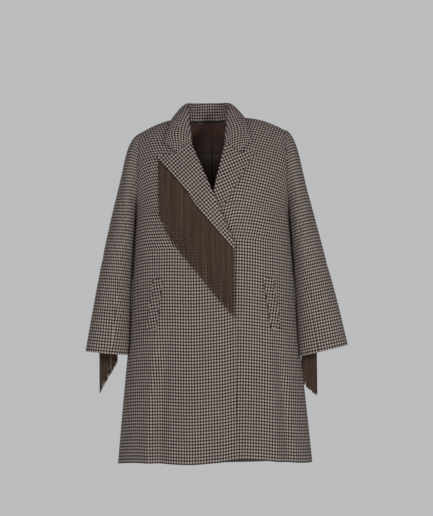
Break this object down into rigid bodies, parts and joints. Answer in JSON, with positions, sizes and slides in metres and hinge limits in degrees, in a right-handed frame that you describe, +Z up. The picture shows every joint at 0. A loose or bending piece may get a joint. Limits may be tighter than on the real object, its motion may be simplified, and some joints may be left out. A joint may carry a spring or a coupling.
{
  "type": "houndstooth coat",
  "caption": "Houndstooth wool coat, filled out as if worn: notched collar, peaked lapels, slanted pocket welts, and fringes at the lapel and the cuffs.",
  "frame": {"origin": "middle of the neck opening, at the height of the nape, where a neck carries the coat", "axes": "+X to the wearer's left, +Y to the wearer's back, +Z up, towards the collar"},
  "size_m": [0.7142, 0.325, 1.0123],
  "materials": {
    "back": "woollen houndstooth, brown and cream, matt",
    "front_right": "woollen houndstooth, brown and cream, matt",
    "front_left": "woollen houndstooth, brown and cream, matt",
    "lapel_right": "woollen houndstooth, brown and cream, matt",
    "lapel_left": "woollen houndstooth, brown and cream, matt",
    "collar": "woollen houndstooth, brown and cream, matt",
    "top_sleeve_right": "woollen houndstooth, brown and cream, matt",
    "under_sleeve_right": "woollen houndstooth, brown and cream, matt",
    "top_sleeve_left": "woollen houndstooth, brown and cream, matt",
    "under_sleeve_left": "woollen houndstooth, brown and cream, matt",
    "pocket_welt_right": "woollen houndstooth, brown and cream, matt",
    "pocket_welt_left": "woollen houndstooth, brown and cream, matt",
    "lapel_fringe": "brown chenille strands, matt",
    "cuff_fringe_right": "brown chenille strands, matt",
    "cuff_fringe_left": "brown chenille strands, matt",
    "lining_yoke_right": "dark brown satin",
    "lining_yoke_left": "dark brown satin",
    "lining_back_right": "dark brown satin",
    "lining_back_left": "dark brown satin"
  },
  "bodies": {
    "root": {"back": "back", "front_right": "front_right", "front_left": "front_left", "lapel_right": "lapel_right", "lapel_left": "lapel_left", "collar": "collar", "top_sleeve_right": "top_sleeve_right", "under_sleeve_right": "under_sleeve_right", "top_sleeve_left": "top_sleeve_left", "under_sleeve_left": "under_sleeve_left", "pocket_welt_right": "pocket_welt_right", "pocket_welt_left": "pocket_welt_left", "lapel_fringe": "lapel_fringe", "cuff_fringe_right": "cuff_fringe_right", "cuff_fringe_left": "cuff_fringe_left", "lining_yoke_right": "lining_yoke_right", "lining_yoke_left": "lining_yoke_left", "lining_back_right": "lining_back_right", "lining_back_left": "lining_back_left"}
  },
  "joints": []
}
